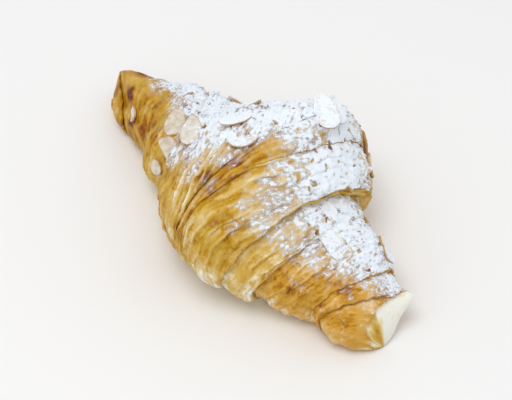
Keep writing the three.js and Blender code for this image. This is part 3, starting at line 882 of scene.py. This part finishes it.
def length_rows(length, around):
    """All rows of one length of the crust from left to right, with the lips that belong to its wraps."""
    parts = []
    first, last = length["wraps"][0], length["wraps"][-1]
    if first > 0:
        parts.append(hidden_row(first - 1, first, around))
        if EDGES[first - 1]["lip"] < 0:
            parts.append(lip_rows(first - 1, bends(first - 1), around))
    for wrap, count in zip(length["wraps"], length["rows"]):
        parts.append(wrap_rows(wrap, shares(wrap, count), around))
        if wrap < last or (wrap < LAST_WRAP and EDGES[wrap]["lip"] > 0):
            parts.append(lip_rows(wrap, bends(wrap), around))
    if last < LAST_WRAP:
        parts.append(hidden_row(last, last, around))
    return {key: np.concatenate([part[key] for part in parts]) for key in parts[0]}


def crust_surface(rows, around):
    """Points and values of the crust: the roll's form, the relief of baking and the sugar on it."""
    smooth_points = on_roll(rows["x"], around, rows["rise"], rows["slide"])
    # The second value carries the flakes' tones and the pleats' painted shade and painted highlight.
    relief, torn = baked_relief(rows, around, smooth_points)
    bare = on_roll(rows["x"], around, rows["rise"] + relief, rows["slide"])
    sugar, cracks = dusting(rows, around, smooth_points, outward(smooth_points))
    heaps = HEAP_HEIGHT * np.maximum(unevenness(smooth_points / HEAP_CELL, HEAP_SEED), 0)
    dust = (DUST_THICKNESS + heaps) * smooth(*DUST_RISE, sugar)
    points = bare + dust[..., None] * outward(bare)
    points[..., 2] = np.maximum(points[..., 2], 0)
    values = {
        # Painted shade in the bare cracks between sugar heaps.
        "bake": browning_and_shade(rows, around, smooth_points, torn) + CRACK_SHADE * cracks,
        "amber": of_wrap(rows, "amber"),
        "sugar": sugar,
        "grain": round_the_roll(layer_level(rows), around, 1, 1),
        "mottle": mottling(rows["x"]),
    }
    return points, values


crust = crust_finish()
crust_places = []
for length in LENGTHS:
    around = angles(length["columns"])
    rows = length_rows(length, around)
    points, values = crust_surface(rows, around)
    ends = np.stack([points[0].mean(axis=0), points[-1].mean(axis=0)])
    mesh = closed_mesh(length["name"], points, ends, values)
    mesh.materials.append(crust)
    piece = add_object(length["name"], mesh)
    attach(piece, "root")
    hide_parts("croissant")
    crust_places.append((points, values["sugar"]))

# Almond slices: blanched almonds cut about a millimetre thick, pressed onto the raw dough and toasted with
# it, so that they stick where they lie. A few stand on edge. Their cut faces are cream and their rims tan,
# and sugar lies on those that look up.
SLICE_THICKNESS, SLICE_TAPER = 1.2, 0.22
SLICE_HEIGHT, SLICE_HELD_OUT, SLICE_ON_FLAKES = 0.2, 0.28, 0.35
SLICE_SIDES, SLICE_RINGS, SLICE_EDGE = 44, 13, 0.4
SLICE_BOW, SLICE_BOW_LEVEL = 0.5, 0.4
SLICE_WAVE, SLICE_WAVE_CELL, SLICE_WAVE_SEED = 0.14, 4.0, 41
SLICE_UNEVEN, SLICE_UNEVEN_CELL, SLICE_UNEVEN_SEED = 0.05, 0.8, 42
SLICE_SPACING = 50
SKIN_STEP, SKIN_TURN = 1, np.radians(1)

# Each slice: its place along X and in degrees round the roll, its length and width, its turn, lift and lean
# in degrees, how far it is held off the dough where it rests on a lip, where it is broken off straight
# across, as a share of its half length, and how much more sugar lies on it than on the dough beside it.
SLICES = [
    (-26.1, 114, 13.3, 8.5, 137, 8, 2, 0, 1, -0.7),
    (-7.4, 115, 13, 8, 132, 15, 17, 0, 1, -1.0),
    (-15.8, 141, 10.8, 10, -121, 0, -32, 1.6, 0.23, 0),
    (-19.8, 160, 7, 5.6, 88, 0, 0, 0.2, 0.8, 0.8),
    (-52.1, 141, 7, 4.5, 136, 0, 0, 0, 0.7, 1.6),
    (8.3, 97.5, 12, 8.5, 28, 0, -14, 0, 1, 0.3),
    (-0.5, 72, 10, 7, 20, 0, 0, 0, 1, 0),
    (22.8, 57.3, 14.6, 8.6, 167, 0, -29, 0.3, 1, -1.3),
    (22, 49, 12.4, 8.6, 161, 0, -11, 0.3, 1, 0),
    (18.7, 106, 10, 7.5, 53, 0, -20, -1.1, 1, 0.8),
    (54.5, 99, 14, 12, -93, 14, 0, -0.6, 0.1, -0.1),
    (64.3, 35, 7, 5.5, 54, 8, 0, 0, 1, 0),
]

# More slices on the far side, drawn at random over this stretch of the roll.
FAR_SLICES, FAR_SEED = 9, 20
FAR_SPREAD, FAR_X = (0.1, 0.9), (-42, 62)
FAR_LONG, FAR_SHAPE, FAR_AROUND = (9, 14), 0.66, (-8, 48)
FAR_TURN, FAR_LIFT = (0, 180), (0, 14)
DRAW_FACTOR, DRAW_PERIOD = 16807, 2**31 - 1


def far_slices():
    """Slices for the far side. Each number comes from the last one by a plain multiplying generator."""
    state = FAR_SEED
    slices = []
    for number in range(FAR_SLICES):
        drawn = []
        for low, high in (FAR_SPREAD, FAR_LONG, FAR_AROUND, FAR_TURN, FAR_LIFT):
            state = state * DRAW_FACTOR % DRAW_PERIOD
            drawn.append(low + (high - low) * state / DRAW_PERIOD)
        share, long, around, turn, lift = drawn
        x = FAR_X[0] + (FAR_X[1] - FAR_X[0]) * (number + share) / FAR_SLICES
        slices.append((x, around, long, long * FAR_SHAPE, turn, lift, 0, 0, 1, 0))
    return slices


def skin(x, around):
    """The point on the outside of the wraps at a place along and round the roll."""
    around = np.array([around])
    wrap = sum(int(edge_place(edge, around)[0] < x) for edge in range(LAST_WRAP))
    left, right = wrap_sides(wrap, around)
    rows = wrap_rows(wrap, (x - left) / (right - left), around)
    return Vector(on_roll(rows["x"], around, rows["rise"], rows["slide"])[0])


def slice_seat(x, around, long, wide, turn, lift, lean, out):
    """Turn and place of a slice: its length lies along the roll and its face on the skin, then it is leaned
    about its length, lifted by its leading end and turned on the skin."""
    along_roll = skin(x + SKIN_STEP, around) - skin(x - SKIN_STEP, around)
    up_roll = skin(x, around - SKIN_TURN) - skin(x, around + SKIN_TURN)
    outward_roll = along_roll.cross(up_roll).normalized()
    along_roll.normalize()
    basis = Matrix((along_roll, outward_roll.cross(along_roll), outward_roll)).transposed()
    leaned = Matrix.Rotation(-lift, 3, "Y") @ Matrix.Rotation(lean, 3, "X")
    standing = long * np.sin(lift) + wide * np.abs(np.sin(lean))
    raised = SLICE_HEIGHT + SLICE_ON_FLAKES + SLICE_HELD_OUT * standing + out
    place = skin(x, around) + outward_roll * raised
    return np.array(basis @ Matrix.Rotation(turn, 3, "Z") @ leaned), np.array(place)


def slice_surface(number, x, around, long, wide, turn, lift, lean, out, broken, dusted):
    """Rings of one slice from the middle of its upper face over its rim to the middle of its lower face: an
    oval drawn in at one end, whole or broken off there, squarish in section, bowed and a little wavy."""
    corner = 2 * np.pi * np.arange(SLICE_SIDES) / SLICE_SIDES
    fall = np.linspace(0, np.pi, SLICE_RINGS + 2)[1:-1, None]
    reach = np.sin(fall) ** SLICE_EDGE
    rise = np.sign(np.cos(fall)) * np.abs(np.cos(fall)) ** SLICE_EDGE
    kept = broken / np.maximum(np.cos(corner), broken)
    length = long / 2 * reach * kept * np.cos(corner)
    width = wide / 2 * (1 - SLICE_TAPER * np.cos(corner)) * reach * kept * np.sin(corner)
    flat = np.stack([length, width, np.full_like(length, number * SLICE_SPACING)], axis=-1)
    wave = SLICE_WAVE * unevenness(flat / SLICE_WAVE_CELL, SLICE_WAVE_SEED)
    wave = wave + SLICE_BOW * ((2 * length / long) ** 2 - SLICE_BOW_LEVEL)
    uneven = SLICE_UNEVEN * unevenness(flat / SLICE_UNEVEN_CELL, SLICE_UNEVEN_SEED)
    height = SLICE_THICKNESS / 2 * rise + wave + uneven
    basis, seat = slice_seat(x, np.radians(around), long, wide, *np.radians((turn, lift, lean)), out)
    points = np.stack([length, width, height], axis=-1) @ basis.T + seat
    up = np.broadcast_to(rise * basis[2, 2], length.shape)
    share = covered_share(points[..., 0], np.radians(around), up, points)
    values = {
        "rim": np.broadcast_to(reach, length.shape),
        "sugar": sugar_level(share, points) + dusted,
    }
    return points, values


ALMOND_PALE = paint(222, 213, 199)
ALMOND_CREAM = paint(202, 186, 161)
ALMOND_TAN = paint(188, 144, 84)
ALMOND_SPECK_CELL, ALMOND_MOTTLE_CELL, ALMOND_MOTTLE_RANGE = 0.45, 2.5, (0.35, 0.65)
TOAST_MOTTLE, TOAST_RIM = 0.3, (0.86, 1.02)
ALMOND_FRAY_CELL, ALMOND_HOLE_CELL = 0.9, 1.3
ALMOND_ROUGHNESS, ALMOND_DUST_ROUGHNESS = 0.42, 0.45
ALMOND_BUMP, ALMOND_BUMP_DEPTH = 0.5, 0.15


def almond_finish():
    """Cream cut almond, faintly mottled, tan along its rim, under the same frayed sugar."""
    material, pen, place = begin_finish("almond")
    specks = pen.noise(place, ALMOND_SPECK_CELL * MM, detail=3)
    mottled = pen.noise(place, ALMOND_MOTTLE_CELL * MM, detail=3)
    toasted = (pen.attribute("rim") + TOAST_MOTTLE * (mottled - NOISE_MEAN)).between(*TOAST_RIM)
    cream = mottled.between(*ALMOND_MOTTLE_RANGE).mix(ALMOND_PALE, ALMOND_CREAM)
    frays = pen.noise(place, ALMOND_FRAY_CELL * MM, detail=4)
    holes = pen.noise(place, ALMOND_HOLE_CELL * MM, detail=3)
    almond = toasted.mix(cream, ALMOND_TAN)
    # The darker cream stands as painted shade in the gaps of the sugar on the slices.
    colour, sugar, powder = sugar_over(pen, almond, place, frays, holes, ALMOND_CREAM)
    bump = {"Strength": ALMOND_BUMP, "Distance": ALMOND_BUMP_DEPTH * MM, "Height": specks + powder}
    colour.feed("Base Color")
    (ALMOND_ROUGHNESS + ALMOND_DUST_ROUGHNESS * sugar).feed("Roughness")
    pen.make("ShaderNodeBump", None, bump).feed("Normal")
    return material


def joined_slices(slices):
    """All slices in one mesh: quads join the rings of each, and a fan closes each of its two faces."""
    surfaces = [slice_surface(number, *numbers) for number, numbers in enumerate(slices)]
    rings = np.stack([points for points, values in surfaces])
    middles = np.stack([rings[:, 0].mean(axis=1), rings[:, -1].mean(axis=1)], axis=1)
    count = len(slices)
    size = SLICE_RINGS * SLICE_SIDES
    number = np.arange(count * size).reshape(count, SLICE_RINGS, SLICE_SIDES)
    beside = np.roll(number, -1, axis=2)
    quads = np.stack([number[:, :-1], number[:, 1:], beside[:, 1:], beside[:, :-1]], axis=-1)
    middle = count * size + np.arange(2 * count).reshape(count, 2)
    upper = np.stack(np.broadcast_arrays(middle[:, :1], number[:, 0], beside[:, 0]), axis=-1)
    lower = np.stack(np.broadcast_arrays(middle[:, 1:], beside[:, -1], number[:, -1]), axis=-1)
    mesh = bpy.data.meshes.new("almond_slices")
    fill_mesh(mesh, np.concatenate([rings.reshape(-1, 3), middles.reshape(-1, 3)]), quads.reshape(-1, 4),
              upper.reshape(-1, 3), lower.reshape(-1, 3))
    for title in ("rim", "sugar"):
        value = np.stack([values[title] for points, values in surfaces])
        centre = value[:, [0, -1]].mean(axis=2)
        spread_value(mesh, title, np.concatenate([value.reshape(-1, 1), centre.reshape(-1, 1)]))
    return mesh, rings, np.stack([values["sugar"] for points, values in surfaces])


almond_mesh, almond_rings, almond_sugar = joined_slices(SLICES + far_slices())
almond_mesh.materials.append(almond_finish())
almond_slices = add_object("almond_slices", almond_mesh)
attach(almond_slices, "root")
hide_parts("croissant")

# Icing sugar: a fine white powder sieved over the baked croissant. Its dust is part of the crust's finish,
# and these are the lumps of powder that are large enough to stand out, mostly where the dusting thins out.
GRAIN_COUNT, GRAIN_SEED = 8500, 51
GRAIN_RADIUS, GRAIN_ROUGHNESS = (0.1, 0.3), 0.22
GRAIN_LEVEL, GRAIN_LEVEL_SPREAD = 0.5, 0.7
SUGAR_SHADE, SHADE_CELL = paint(222, 226, 236), 1.5
GRAIN_MATT, SHADE_MATT = 0.8, 0.15


def grain_shape():
    """The 12 corners and 20 faces of an icosahedron: three golden rectangles at right angles."""
    golden = (1 + np.sqrt(5)) / 2
    corners = np.array([
        (-1, golden, 0), (1, golden, 0), (-1, -golden, 0), (1, -golden, 0),
        (0, -1, golden), (0, 1, golden), (0, -1, -golden), (0, 1, -golden),
        (golden, 0, -1), (golden, 0, 1), (-golden, 0, -1), (-golden, 0, 1),
    ])
    faces = np.array([
        (0, 11, 5), (0, 5, 1), (0, 1, 7), (0, 7, 10), (0, 10, 11),
        (1, 5, 9), (5, 11, 4), (11, 10, 2), (10, 7, 6), (7, 1, 8),
        (3, 9, 4), (3, 4, 2), (3, 2, 6), (3, 6, 8), (3, 8, 9),
        (4, 9, 5), (2, 4, 11), (6, 2, 10), (8, 6, 7), (9, 8, 1),
    ])
    return corners / np.linalg.norm(corners, axis=1, keepdims=True), faces


def sugar_grains(places, levels):
    """Grains at places drawn with a bell-shaped weight on the dusting's level, each an icosahedron whose
    corners are pushed in and out, of a size that favours small ones."""
    draw = np.random.default_rng(GRAIN_SEED)
    weight = np.exp(-(((levels - GRAIN_LEVEL) / GRAIN_LEVEL_SPREAD) ** 2))
    chosen = draw.choice(len(places), GRAIN_COUNT, replace=False, p=weight / weight.sum())
    small, large = GRAIN_RADIUS
    radius = small + (large - small) * draw.random((GRAIN_COUNT, 1, 1)) ** 2
    corners, faces = grain_shape()
    uneven = 1 + GRAIN_ROUGHNESS * draw.normal(size=(GRAIN_COUNT, len(corners), 1))
    points = places[chosen][:, None] + radius * uneven * corners
    points[..., 2] = np.maximum(points[..., 2], 0)
    numbered = faces + len(corners) * np.arange(GRAIN_COUNT)[:, None, None]
    mesh = bpy.data.meshes.new("icing_sugar")
    fill_mesh(mesh, points.reshape(-1, 3), numbered.reshape(-1, 3))
    return mesh


def sugar_finish():
    """Matt white powder, a little greyer here and there."""
    material, pen, place = begin_finish("icing_sugar")
    shade = pen.noise(place, SHADE_CELL * MM, detail=3)
    shade.mix(SUGAR_COLOUR, SUGAR_SHADE).feed("Base Color")
    (GRAIN_MATT + SHADE_MATT * shade).feed("Roughness")
    return material


dusted = [(points[1:-1].reshape(-1, 3), sugar[1:-1].ravel()) for points, sugar in crust_places]
dusted.append((almond_rings.reshape(-1, 3), almond_sugar.ravel()))
sugar_mesh = sugar_grains(np.concatenate([points for points, sugar in dusted]),
                          np.concatenate([sugar for points, sugar in dusted]))
sugar_mesh.materials.append(sugar_finish())
icing_sugar = add_object("icing_sugar", sugar_mesh)
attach(icing_sugar, "root")
